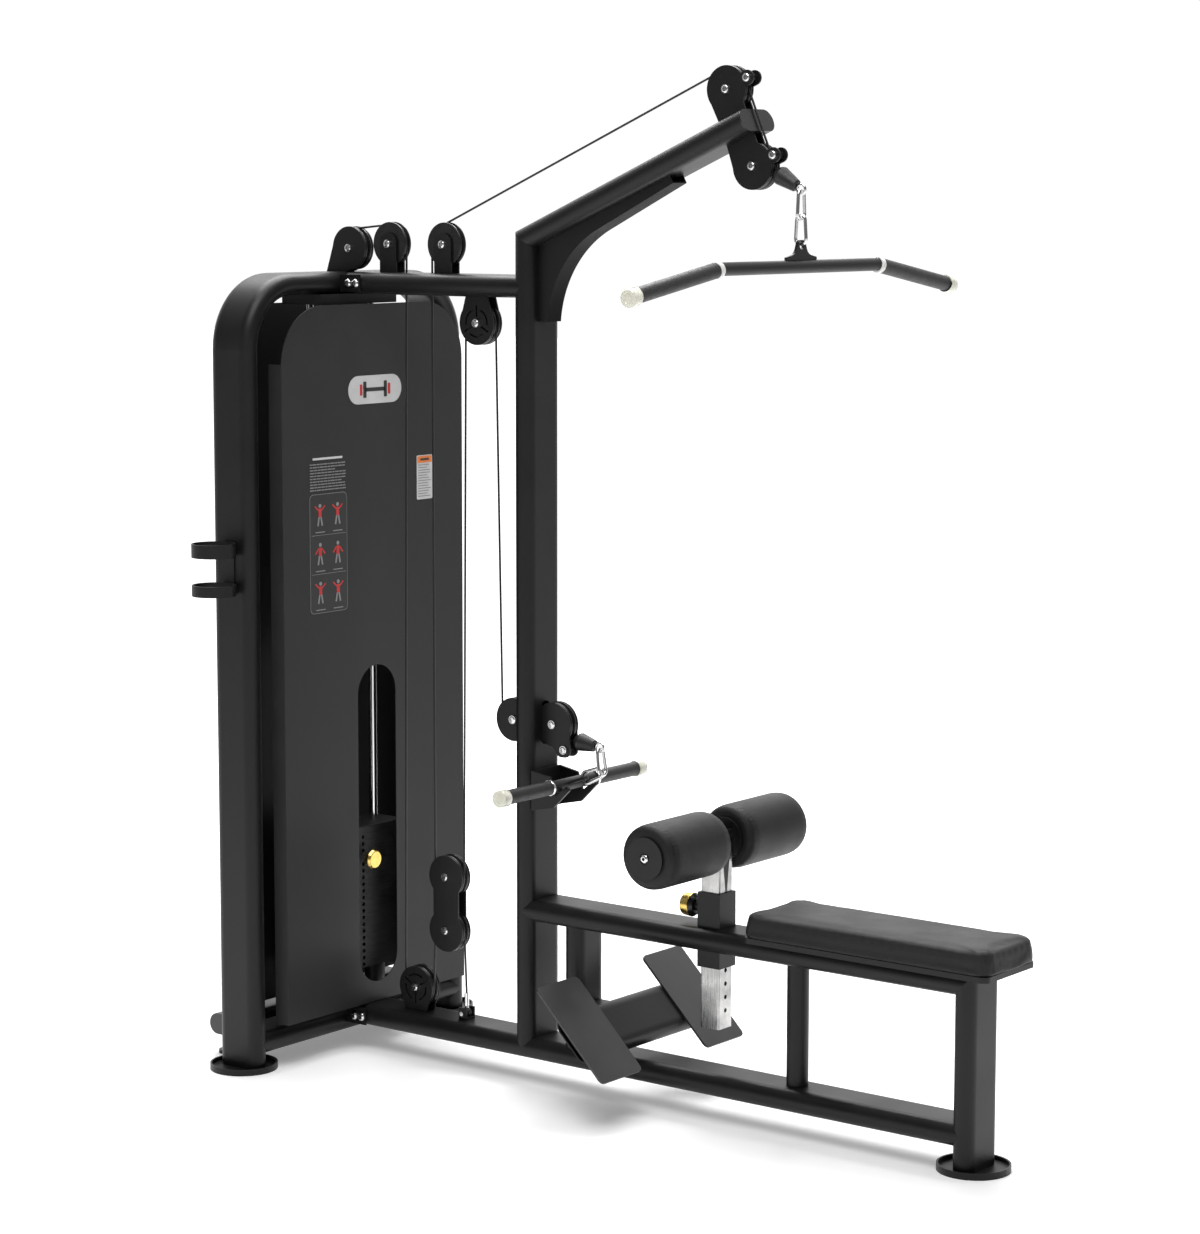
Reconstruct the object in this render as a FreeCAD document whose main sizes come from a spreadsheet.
"""Lat pulldown machine with a low row, built as separate pieces. Millimetres, +Z up.

The origin is on the floor under the middle of the machine's overall box. +X points from the
weight tower to the seat, and Y = 0 is the plane in which every pulley and cable runs.
"""
import FreeCAD, Part
import math
import operator
import os
from types import SimpleNamespace

import Sketcher
from FreeCAD import Placement, Rotation, Vector

SIZES = {
    # frame tubes, all flat-oval
    "tube_wide": 120,
    "tube_thick": 50,
    "tube_wall": 3,
    "slim_wide": 100,
    "cap_thick": 4,
    "joint_plate": 8,
    "ear_plate": 5,
    "ear_long": 60,
    "ear_tall": 40,
    "mitre_lip": 1,
    # plan layout, from the mast's axis
    "tower_to_mast": 592,
    "mast_to_leg": 1166,
    "tower_span": 709,
    "tower_tall": 1839,
    "tower_bend": 145,
    "cross_low": 36.5,
    "rear_low": 48,
    "rear_long": 598,
    "beam_low": 56,
    "seat_beam_low": 377,
    "mast_over": 81.5,
    "boom_rise": 23,
    "boom_reach": 610,
    "boom_overhang": 35,
    "gusset_drop": 183.5,
    "gusset_tip": 388,
    "gusset_bend": 250,
    "gusset_lip": 25,
    "gusset_knee_x": 64,
    "gusset_knee_drop": 40.5,
    # feet
    "foot_wide": 157,
    "foot_tall": 15,
    "foot_floor": 6,
    "foot_rim": 4,
    "glide_wide": 36,
    "glide_tall": 9,
    "glide_stem": 14,
    # posts and foot rest
    "mid_post_wide": 48,
    "mid_post_reach": 721,
    "rest_post_reach": 134.7,
    "rest_reach": 300,
    "rest_rise": 200,
    "rest_span": 387,
    "rest_plate_wide": 147,
    "rest_plate_long": 260,
    "rest_plate_thick": 5,
    "rest_corner": 13,
    # shrouds
    "shroud_wide": 632,
    "shroud_lift": 2,
    "shroud_drop": 23,
    "shroud_depth": 40,
    "shroud_wall": 2,
    "shroud_bend": 135,
    "flange_drop": 130,
    "rod_plate_long": 266,
    "rod_plate_deep": 120,
    "rod_plate_tall": 24,
    "rod_plate_thick": 6,
    "shroud_reach": 107,
    "slot_wide": 134,
    "slot_low": 155,
    "slot_top": 918,
    # weight stack
    "plate_wide": 300,
    "plate_deep": 120,
    "plate_thick": 16,
    "plate_gap": 0.3,
    "resting_count": 16,
    "lifted_count": 4,
    "stack_low": 180,
    "rod_wide": 20,
    "rod_span": 210,
    "stem_wide": 22,
    "stem_gap": 2,
    "pin_wide": 10,
    "pin_knob_wide": 49,
    "pin_knob_long": 22,
    "knob_gap": 5,
    "bumper_wide": 50,
    # pulleys and cable
    "rim_rise": 6,
    "sheave_thick": 20,
    "wrap_radius": 44,
    "cable_wide": 5,
    "cable_gap": 0.3,
    "side_plate": 4,
    "side_gap": 1.5,
    "strap_wide": 50,
    "strap_back": 44,
    "strap_front": 30,
    "spoke_near": 14,
    "spoke_far": 40,
    "spoke_wide": 4,
    "arc_mid": 31,
    "arc_wide": 4,
    "bolt_wide": 10,
    "head_wide": 19,
    "head_tall": 5,
    "a_rise": 55,
    "b_reach": 427,
    "b_rise": 66,
    "c_reach": 262,
    "d_reach": 162,
    "d_drop": 60,
    "bottom_reach": 356,
    "bottom_rise": 56,
    "anchor_reach": 212,
    "anchor_rise": 14,
    "lug_long": 24,
    "lug_tall": 28,
    "lug_floor": 6,
    "eye_wide": 22,
    "ferrule_wide": 11,
    "ferrule_top": 61,
    "block_low": 311,
    "block_gap": 128,
    "row_pulley_rise": 831,
    "row_pulley_out": 57,
    "boom_pulley_out": 88,
    "retainer_out": 59,
    "retainer_wide": 16,
    "row_retainer_x": 33,
    "row_retainer_z": 55,
    # lat bar and its hanger
    "lat_reach": 711,
    "lat_bar_drop": 52.5,
    "lat_half": 292,
    "lat_arm": 298,
    "lat_droop": 9.5,
    "bar_wide": 28,
    "grip_wall": 2.5,
    "cap_wall": 5,
    "link_wire": 8,
    "tab_rise": 44,
    "tab_thick": 6,
    "lat_tab_wide": 112,
    "row_tab_wide": 60,
    "cap_long": 24,
    "grip_start": 16,
    # row bar and its holder
    "row_bar_reach": 100.5,
    "row_bar_rise": 700,
    "row_bar_long": 506,
    "row_grip_start": 86,
    "row_pull_rise": 40,
    "holder_span": 100,
    "holder_plate": 6,
    "hook_front": 42,
    "hook_back": 44,
    "hook_foot": 40,
    "hook_under": 26,
    # thigh pads
    "post_wide": 50,
    "post_low": 201,
    "sleeve_wall": 4.6,
    "sleeve_low": 338,
    "sleeve_top": 505,
    "pad_reach": 503.7,
    "pad_rise": 618.7,
    "roller_wide": 149,
    "roller_long": 226,
    "roller_gap": 66,
    "axle_wide": 25,
    "disc_wide": 92,
    "knob_rise": 466,
    "knob_wide": 54,
    "knob_back": 56,
    "knob_neck": 32,
    "barrel_long": 22,
    "barrel_wide": 24,
    "post_corner": 4,
    "post_holes": 9,
    "post_pitch": 30,
    "roller_corner": 16,
    "disc_thick": 4,
    "axle_stub": 3,
    "disc_gap": 1,
    # seat
    "seat_wide": 220,
    "seat_long": 624,
    "seat_before_leg": 532,
    "seat_thick": 56,
    "board_thick": 12,
    "seat_corner": 35,
    # bottle holder
    "ring_wide": 101,
    "ring_wall": 3,
    "ring_upper": 1203,
    "ring_upper_tall": 31,
    "ring_lower": 1115,
    "ring_lower_tall": 25,
    # fits
    "run_gap": 0.08,
    "rub_gap": 0.4,
}

doc = FreeCAD.newDocument("LatPulldown")
sheet = doc.addObject("Spreadsheet::Sheet", "Sizes")
for row, (alias, number) in enumerate(SIZES.items(), start=1):
    sheet.set("A%d" % row, alias)
    sheet.set("B%d" % row, str(number))
    sheet.setAlias("B%d" % row, alias)
doc.recompute()


class Size:
    """A length that carries its value and the sheet formula that gives it."""

    def __init__(self, value, formula):
        self.value = value
        self.formula = formula

    def join(self, symbol, work, other, flip=False):
        first, second = (other, self) if flip else (self, other)
        formula = "(%s %s %s)" % (text_of(first), symbol, text_of(second))
        return Size(work(value_of(first), value_of(second)), formula)

    def __add__(self, other):
        return self.join("+", operator.add, other)

    def __radd__(self, other):
        return self.join("+", operator.add, other, True)

    def __sub__(self, other):
        return self.join("-", operator.sub, other)

    def __rsub__(self, other):
        return self.join("-", operator.sub, other, True)

    def __mul__(self, other):
        return self.join("*", operator.mul, other)

    def __rmul__(self, other):
        return self.join("*", operator.mul, other, True)

    def __truediv__(self, other):
        return self.join("/", operator.truediv, other)

    def __neg__(self):
        return Size(-self.value, "(-1 * %s)" % self.formula)


def value_of(thing):
    return thing.value if isinstance(thing, Size) else float(thing)


def text_of(thing):
    return thing.formula if isinstance(thing, Size) else repr(float(thing))


def sin_of(angle):
    return Size(math.sin(math.radians(angle.value)), "sin(%s * 1deg)" % angle.formula)


def cos_of(angle):
    return Size(math.cos(math.radians(angle.value)), "cos(%s * 1deg)" % angle.formula)


s = SimpleNamespace(**{
    alias: Size(float(sheet.get(alias)), "Sizes." + alias) for alias in SIZES
})


# ---- places worked out from the sizes ------------------------------------------------------
half_wide = s.tube_wide / 2
half_thick = s.tube_thick / 2
front_end = s.mast_to_leg + s.foot_wide / 2
rear_end = s.tower_to_mast + half_wide + s.slim_wide
mast_x = (rear_end - front_end) / 2
tower_x = mast_x - s.tower_to_mast
leg_x = mast_x + s.mast_to_leg
leg_y = s.tower_span / 2
rear_x = tower_x - half_wide - s.slim_wide / 2
beam_mid = s.beam_low + half_thick
beam_top = s.beam_low + s.tube_thick
seat_beam_mid = s.seat_beam_low + half_thick
seat_beam_top = s.seat_beam_low + s.tube_thick
top_mid = s.tower_tall - half_thick
top_low = s.tower_tall - s.tube_thick
tower_front = tower_x + half_wide
beam_start = tower_front + s.joint_plate
mast_joint = s.tower_tall + s.mast_over
lat_bar_rise = mast_joint - s.lat_bar_drop
shroud_low = beam_top + s.shroud_lift
shroud_top = top_low - s.shroud_drop
sheave_wide = (s.wrap_radius + s.rim_rise) * 2
sleeve_wide = s.post_wide + (s.rub_gap + s.sleeve_wall) * 2
grip_wide = s.bar_wide + s.grip_wall * 2
cap_wide = s.bar_wide + s.cap_wall * 2
stem_hole = s.stem_wide + s.stem_gap * 2
lean_cos = cos_of(s.boom_rise)
lean_sin = sin_of(s.boom_rise)
plate_pitch = s.plate_thick + s.plate_gap
top_plate_low = s.stack_low + plate_pitch * (s.resting_count + s.lifted_count)
top_plate_top = top_plate_low + s.plate_thick
pin_z = s.stack_low + plate_pitch * s.resting_count + s.plate_thick / 2
plates_in = s.sheave_thick / 2 + s.side_gap
plates_out = plates_in + s.side_plate
pad_x = mast_x + s.pad_reach


def boom_point(along, up):
    """Place at a distance along the boom's axis and square to it."""
    x = mast_x + along * lean_cos - up * lean_sin
    z = mast_joint + along * lean_sin + up * lean_cos
    return x, z


pulley = {
    "a": (tower_x + s.wrap_radius, s.tower_tall + s.a_rise),
    "b": (mast_x - s.b_reach, s.tower_tall + s.b_rise),
    "c": (mast_x - s.c_reach, s.tower_tall + s.b_rise),
    "d": (mast_x - s.d_reach, top_low - s.d_drop),
    "e": boom_point(s.boom_reach, s.boom_pulley_out),
    "f": boom_point(s.boom_reach, -s.boom_pulley_out),
    "g": (mast_x - s.row_pulley_out, s.row_pulley_rise),
    "h": (mast_x + s.row_pulley_out, s.row_pulley_rise),
    "bottom": (mast_x - s.bottom_reach, beam_top + s.bottom_rise),
    "block_upper": (mast_x - s.c_reach, s.block_low + s.block_gap),
    "block_lower": (mast_x - s.c_reach, s.block_low),
}
retainer = {
    "e": boom_point(s.boom_reach + s.retainer_out, s.boom_pulley_out),
    "f": boom_point(s.boom_reach + s.retainer_out, -s.boom_pulley_out),
    "h": (pulley["h"][0] + s.row_retainer_x, s.row_pulley_rise - s.row_retainer_z),
}


# ---- small tools for sketches and features --------------------------------------------------
def bind(thing, prop, size):
    if isinstance(size, Size):
        thing.setExpression(prop, size.formula)


pieces = {}


def new_body(label, x=0, y=0, z=0, turn=None):
    body = doc.addObject("PartDesign::Body", label)
    body.Label = label
    pieces[label] = body
    body.Placement = Placement(Vector(value_of(x), value_of(y), value_of(z)), turn or Rotation())
    for axis, place in (("x", x), ("y", y), ("z", z)):
        bind(body, "Placement.Base." + axis, place)
    return body


def new_sketch(body, plane, lift=0):
    """A sketch on one of the body's own planes: XY, XZ (facing -Y) or YZ (facing +X)."""
    sketch = body.newObject("Sketcher::SketchObject", body.Name + "_sketch")
    role = plane + "_Plane"
    support = [feature for feature in body.Origin.OriginFeatures if feature.Role == role][0]
    sketch.AttachmentSupport = (support, "")
    sketch.MapMode = "FlatFace"
    sketch.AttachmentOffset = Placement(Vector(0, 0, value_of(lift)), Rotation())
    bind(sketch, "AttachmentOffset.Base.z", lift)
    return sketch


def rule(sketch, size, *parts):
    """Adds a constraint with a size, and ties it to the sheet."""
    index = sketch.addConstraint(Sketcher.Constraint(*parts, value_of(size)))
    bind(sketch, "Constraints[%d]" % index, size)


def hold(sketch, shape, point, x, y):
    for kind, axis, place in (("DistanceX", -2, x), ("DistanceY", -1, y)):
        if isinstance(place, Size) or place:
            rule(sketch, place, kind, -1, 1, shape, point)
        else:
            sketch.addConstraint(Sketcher.Constraint("PointOnObject", shape, point, axis))


def circle(sketch, radius, x=0, y=0):
    centre = Vector(value_of(x), value_of(y), 0)
    shape = sketch.addGeometry(Part.Circle(centre, Vector(0, 0, 1), value_of(radius)))
    hold(sketch, shape, 3, x, y)
    rule(sketch, radius, "Radius", shape)


def oval(sketch, wide, thick, x=0, y=0, upright=False):
    """A flat oval: two straight sides joined by half circles, long way along x or y."""
    radius = thick / 2
    reach = (wide - thick) / 2
    ends = []
    for sign in (1, -1):
        place = (x, y + reach * sign) if upright else (x + reach * sign, y)
        centre = Vector(value_of(place[0]), value_of(place[1]), 0)
        start = (0 if upright else -math.pi / 2) + (0 if sign > 0 else math.pi)
        ring = Part.Circle(centre, Vector(0, 0, 1), value_of(radius))
        ends.append((sketch.addGeometry(Part.ArcOfCircle(ring, start, start + math.pi)), place))
    (first, first_place), (second, second_place) = ends
    sides = []
    for leave, reach_to in ((first, second), (second, first)):
        start = sketch.Geometry[leave].EndPoint
        end = sketch.Geometry[reach_to].StartPoint
        side = sketch.addGeometry(Part.LineSegment(start, end))
        sketch.addConstraint(Sketcher.Constraint("Tangent", leave, 2, side, 1))
        sides.append((side, reach_to))
    for side, reach_to in sides:
        sketch.addConstraint(Sketcher.Constraint("Tangent", side, 2, reach_to, 1))
    sketch.addConstraint(Sketcher.Constraint("Equal", first, second))
    rule(sketch, radius, "Radius", first)
    hold(sketch, first, 3, *first_place)
    hold(sketch, second, 3, *second_place)


def outline(sketch, corners, closed=True):
    """Straight runs through the corners; a corner's third number rounds it off."""
    flat = [Vector(value_of(c[0]), value_of(c[1]), 0) for c in corners]
    count = len(corners)
    leave, arrive, arcs = list(flat), list(flat), {}
    for i, corner in enumerate(corners):
        if len(corner) < 3:
            continue
        back = (flat[i - 1] - flat[i]).normalize()
        ahead = (flat[(i + 1) % count] - flat[i]).normalize()
        half = back.getAngle(ahead) / 2
        radius = value_of(corner[2])
        arrive[i] = flat[i] + back * (radius / math.tan(half))
        leave[i] = flat[i] + ahead * (radius / math.tan(half))
        centre = flat[i] + (back + ahead).normalize() * (radius / math.sin(half))
        left = (back * -1).cross(ahead).z > 0
        first, last = (arrive[i], leave[i]) if left else (leave[i], arrive[i])
        angles = [math.atan2(p.y - centre.y, p.x - centre.x) for p in (first, last)]
        if angles[1] < angles[0]:
            angles[1] += 2 * math.pi
        ring = Part.Circle(centre, Vector(0, 0, 1), radius)
        arc = sketch.addGeometry(Part.ArcOfCircle(ring, *angles))
        arcs[i] = (arc, 1 if left else 2, 2 if left else 1)
    runs = []
    for i in range(count if closed else count - 1):
        runs.append(sketch.addGeometry(Part.LineSegment(leave[i], arrive[(i + 1) % count])))
    for i, corner in enumerate(corners):
        after = runs[i] if i < len(runs) else None
        before = runs[i - 1] if closed or i > 0 else None
        if i in arcs:
            arc, entry, exit_point = arcs[i]
            sketch.addConstraint(Sketcher.Constraint("Tangent", before, 2, arc, entry))
            sketch.addConstraint(Sketcher.Constraint("Tangent", arc, exit_point, after, 1))
            rule(sketch, corner[2], "Radius", arc)
            mark = sketch.addGeometry(Part.Point(flat[i]), True)
            hold(sketch, mark, 1, corner[0], corner[1])
            sketch.addConstraint(Sketcher.Constraint("PointOnObject", mark, 1, before))
            sketch.addConstraint(Sketcher.Constraint("PointOnObject", mark, 1, after))
        else:
            if before is not None and after is not None:
                sketch.addConstraint(Sketcher.Constraint("Coincident", before, 2, after, 1))
            if after is not None:
                hold(sketch, after, 1, corner[0], corner[1])
            else:
                hold(sketch, before, 2, corner[0], corner[1])


def oblong(sketch, wide, tall, x=0, y=0, corner=None):
    """A rectangle about a point, with rounded corners if a radius is given."""
    extra = () if corner is None else (corner,)
    places = ((-1, -1), (1, -1), (1, 1), (-1, 1))
    outline(sketch, [(x + wide / 2 * i, y + tall / 2 * j, *extra) for i, j in places])


def feature(body, kind, sketch, length, symmetric=False, reverse=False):
    item = body.newObject("PartDesign::" + kind, "%s_%s" % (body.Name, kind.lower()))
    item.Profile = sketch
    item.Length = value_of(length)
    bind(item, "Length", length)
    if symmetric:
        item.SideType = "Symmetric"
    item.Reversed = reverse
    sketch.Visibility = False
    return item


def pad(body, sketch, length, symmetric=False, reverse=False):
    return feature(body, "Pad", sketch, length, symmetric, reverse)


def cut(body, sketch, length, symmetric=False, reverse=False):
    """A pocket, refused if it takes nothing away."""
    doc.recompute()
    before = body.Shape.Volume
    item = feature(body, "Pocket", sketch, length, symmetric, reverse)
    doc.recompute()
    if not body.Shape.Volume < before:
        raise RuntimeError("a pocket in %s cuts nothing" % body.Label)
    return item


def turn_about(body, sketch, axis="V_Axis"):
    item = body.newObject("PartDesign::Revolution", body.Name + "_turned")
    item.Profile = sketch
    item.ReferenceAxis = (sketch, [axis])
    item.Angle = 360
    return item


def pipe(body, kind, profile, spine):
    item = body.newObject("PartDesign::" + kind, body.Name + "_pipe")
    item.Profile = profile
    item.Spine = (spine, [])
    return item


def repeat(body, features, axis, pitch, count):
    """Copies features along one of the body's own axes."""
    item = body.newObject("PartDesign::LinearPattern", body.Name + "_row")
    item.Originals = features
    role = axis + "_Axis"
    item.Direction = ([f for f in body.Origin.OriginFeatures if f.Role == role][0], [""])
    item.Mode = "Spacing"
    item.Offset = value_of(pitch)
    bind(item, "Offset", pitch)
    item.Occurrences = int(value_of(count))
    bind(item, "Occurrences", count)
    body.Tip = item
    return item


def rod(label, start, end, wide, bore=None):
    """A round bar or sleeve between two points of the mid-plane or anywhere else."""
    low = Vector(*[value_of(place) for place in start])
    high = Vector(*[value_of(place) for place in end])
    turn = Rotation(Vector(0, 0, 1), high - low)
    solids = []
    for across in (wide,) if bore is None else (wide, bore):
        bar = doc.addObject("Part::Cylinder", label + "_bar")
        bar.Radius = value_of(across) / 2
        bind(bar, "Radius", across / 2)
        bar.Height = (high - low).Length
        bar.Placement = Placement(low, turn)
        solids.append(bar)
    if bore is None:
        piece = solids[0]
    else:
        piece = doc.addObject("Part::Cut", label)
        piece.Base, piece.Tool = solids
    piece.Label = label
    pieces[label] = piece
    return piece


def group(label, members):
    """Gathers pieces that are fastened to each other into one node of separate solids."""
    bundle = doc.addObject("Part::Compound", label)
    bundle.Links = [pieces.pop(member) for member in members]
    bundle.Label = label
    pieces[label] = bundle
    return bundle


def tube_profile(body, plane, wide, upright, lift=0, x=0, y=0):
    sketch = new_sketch(body, plane, lift)
    oval(sketch, wide, s.tube_thick, x, y, upright)
    oval(sketch, wide - s.tube_wall * 2, s.tube_thick - s.tube_wall * 2, x, y, upright)
    return sketch


# ---- frame ----------------------------------------------------------------------------------
BIG = 400


def cope(body, plane, wide, x=0, y=0, upright=False, lift=0):
    """Cuts the outline of a neighbouring tube out of a tube's end."""
    sketch = new_sketch(body, plane, lift)
    oval(sketch, wide, s.tube_thick, x, y, upright)
    cut(body, sketch, BIG, symmetric=True)


def make_tower_arch():
    body = new_body("tower_arch", tower_x, 0, s.foot_floor)
    rise = s.tower_tall - half_thick - s.foot_floor
    spine = new_sketch(body, "YZ")
    corners = [(-leg_y, 0), (-leg_y, rise, s.tower_bend), (leg_y, rise, s.tower_bend), (leg_y, 0)]
    outline(spine, corners, closed=False)
    for kind, shrink in (("AdditivePipe", 0), ("SubtractivePipe", s.tube_wall * 2)):
        profile = new_sketch(body, "XY")
        oval(profile, s.tube_wide - shrink, s.tube_thick - shrink, 0, -leg_y)
        pipe(body, kind, profile, spine)
    hole = new_sketch(body, "XY", s.tower_tall - s.foot_floor - half_thick)
    circle(hole, s.cable_wide * 1.5)
    cut(body, hole, s.tube_thick * 2, symmetric=True)


def make_tower_base():
    body = new_body("cross_tubes", tower_x, 0, 0)
    cross_mid = s.cross_low + half_thick
    pad(body, tube_profile(body, "XZ", s.tube_wide, False, 0, 0, cross_mid), s.tower_span, True)
    rear = tube_profile(body, "XZ", s.slim_wide, False, 0, rear_x - tower_x, s.rear_low + half_thick)
    pad(body, rear, s.rear_long, True)
    for side in (-1, 1):
        link = new_sketch(body, "XY", s.cross_low + s.tube_wall)
        oblong(link, s.tube_wide, s.tube_thick, -half_wide, s.rear_long / 4 * side)
        pad(body, link, s.tube_thick / 5)
    for side in (-1, 1):
        cope(body, "XY", s.tube_wide, 0, leg_y * side)
    caps = new_body("rear_caps", rear_x, 0, s.rear_low + half_thick)
    for side in (-1, 1):
        face = new_sketch(caps, "XZ", s.rear_long / 2 * side)
        oval(face, s.slim_wide, s.tube_thick)
        pad(caps, face, s.cap_thick, reverse=side < 0)


def make_base_beam():
    body = new_body("base_beam", beam_start, 0, beam_mid)
    length = leg_x - beam_start
    pad(body, tube_profile(body, "YZ", s.tube_wide, False), length)
    cope(body, "XY", s.tube_wide, length, 0, upright=True)


def make_top_beam():
    body = new_body("top_beam", beam_start, 0, top_mid)
    length = mast_x - beam_start
    pad(body, tube_profile(body, "YZ", s.tube_wide, False), length)
    cope(body, "XY", s.tube_wide, length, 0, upright=True)
    holes = new_sketch(body, "XY")
    circle(holes, s.cable_wide * 1.5, pulley["b"][0] + s.wrap_radius - beam_start, 0)
    circle(holes, s.cable_wide * 1.5, pulley["c"][0] - s.wrap_radius - beam_start, 0)
    cut(body, holes, s.tube_thick * 2, symmetric=True)


def make_seat_beam():
    body = new_body("seat_beam", mast_x, 0, seat_beam_mid)
    pad(body, tube_profile(body, "YZ", s.tube_wide, False), s.mast_to_leg + half_thick)
    cope(body, "XY", s.tube_wide, 0, 0, upright=True)
    edge = half_thick + s.mitre_lip
    mitre = new_sketch(body, "XZ")
    outline(mitre, [
        (s.mast_to_leg - edge, -edge),
        (s.mast_to_leg + edge, -edge),
        (s.mast_to_leg + edge, edge),
    ])
    cut(body, mitre, BIG, symmetric=True)
    hole = new_sketch(body, "XY")
    oblong(hole, sleeve_wide, sleeve_wide, s.pad_reach, 0)
    cut(body, hole, BIG, symmetric=True)


def make_front_leg():
    body = new_body("front_leg", leg_x, 0, s.foot_floor)
    tall = seat_beam_top - s.foot_floor
    pad(body, tube_profile(body, "XY", s.tube_wide, True), tall)
    mitre = new_sketch(body, "XZ")
    edge = half_thick + s.mitre_lip
    outline(mitre, [
        (-edge, tall - s.tube_thick - s.mitre_lip),
        (edge, tall + s.mitre_lip),
        (-edge, tall + s.mitre_lip),
    ])
    cut(body, mitre, BIG, symmetric=True)


def make_mast():
    body = new_body("mast", mast_x, 0, beam_mid)
    joint = mast_joint - beam_mid
    pad(body, tube_profile(body, "XY", s.tube_wide, True), joint + s.tube_thick)
    half_angle = (s.boom_rise * -1 + 90) / 2
    long_x = cos_of(half_angle) * s.tube_wide
    long_z = sin_of(half_angle) * s.tube_wide
    mitre = new_sketch(body, "XZ")
    outline(mitre, [
        (long_x, joint - long_z),
        (long_x, joint + s.tube_wide),
        (-long_x, joint + s.tube_wide * 2),
        (-long_x, joint + long_z),
    ])
    cut(body, mitre, BIG, symmetric=True)
    cope(body, "YZ", s.tube_wide)
    window = new_sketch(body, "YZ")
    oval(window, sheave_wide, plates_out * 2 + s.side_gap * 2, 0, s.row_pulley_rise - beam_mid, True)
    cut(body, window, BIG, symmetric=True)


def make_boom():
    lean = Rotation(Vector(0, 1, 0), -s.boom_rise.value)
    body = new_body("boom", mast_x, 0, mast_joint, lean)
    length = s.boom_reach + s.boom_overhang
    pad(body, tube_profile(body, "YZ", s.tube_wide, False, -s.tube_thick), length + s.tube_thick)
    half_angle = (s.boom_rise + 90) / 2
    long_x = cos_of(half_angle) * s.tube_wide
    long_z = sin_of(half_angle) * s.tube_wide
    mitre = new_sketch(body, "XZ")
    outline(mitre, [
        (long_x, -long_z),
        (-long_x, long_z),
        (-long_x - s.tube_wide, long_z),
        (-long_x - s.tube_wide, -long_z),
    ])
    cut(body, mitre, BIG, symmetric=True)
    cap = new_body("boom_cap", *cap_place(), turn=lean)
    face = new_sketch(cap, "YZ")
    oval(face, s.tube_wide, s.tube_thick)
    pad(cap, face, s.side_plate)
    plug = new_sketch(cap, "YZ")
    slack = s.tube_wall * 2 + s.rub_gap
    oval(plug, s.tube_wide - slack, s.tube_thick - slack)
    pad(cap, plug, s.tube_thick / 2, reverse=True)


def cap_place():
    x, z = boom_point(s.boom_reach + s.boom_overhang, 0)
    return x, 0, z


def make_boom_gusset():
    """A folded channel that follows the inside corner of mast and boom in one sweep."""
    body = new_body("boom_gusset", mast_x, 0, 0)
    rise = lean_sin / lean_cos
    under = mast_joint - half_thick / lean_cos
    low, lip, wall = mast_joint - s.gusset_drop, s.gusset_lip, s.side_plate
    knee_x, knee_z = s.gusset_knee_x, mast_joint - s.gusset_knee_drop

    def boom_side(x, drop=0):
        return (x, under + x * rise - drop)

    profile = new_sketch(body, "XZ")
    outline(profile, [
        (half_thick, low),
        (half_thick + lip, low),
        (knee_x, knee_z, s.gusset_bend),
        boom_side(s.gusset_tip + wall * 2, lip * 0.75),
        boom_side(s.gusset_tip),
        boom_side(half_thick),
    ])
    pad(body, profile, s.tube_thick, symmetric=True)
    hollow = new_sketch(body, "XZ")
    outline(hollow, [
        (half_thick - 1, low - 1),
        (half_thick + lip - wall, low - 1),
        (knee_x - wall, knee_z + wall, s.gusset_bend - wall),
        boom_side(s.gusset_tip + wall * 3, lip * 0.75 - wall),
        boom_side(s.gusset_tip + wall * 3, -2),
        boom_side(half_thick - 1, -2),
    ])
    cut(body, hollow, s.tube_thick - wall * 2, symmetric=True)


def make_posts():
    mid = new_body("mid_post", mast_x + s.mid_post_reach, 0, beam_top)
    ring = new_sketch(mid, "XY")
    circle(ring, s.mid_post_wide / 2)
    circle(ring, s.mid_post_wide / 2 - s.tube_wall)
    pad(mid, ring, s.seat_beam_low - beam_top)
    post = new_body("foot_rest_post", mast_x + s.rest_post_reach, 0, beam_mid)
    tall = seat_beam_mid - beam_mid
    pad(post, tube_profile(post, "XY", s.slim_wide, True), tall)
    cope(post, "YZ", s.tube_wide)
    cope(post, "YZ", s.tube_wide, 0, tall)


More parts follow.
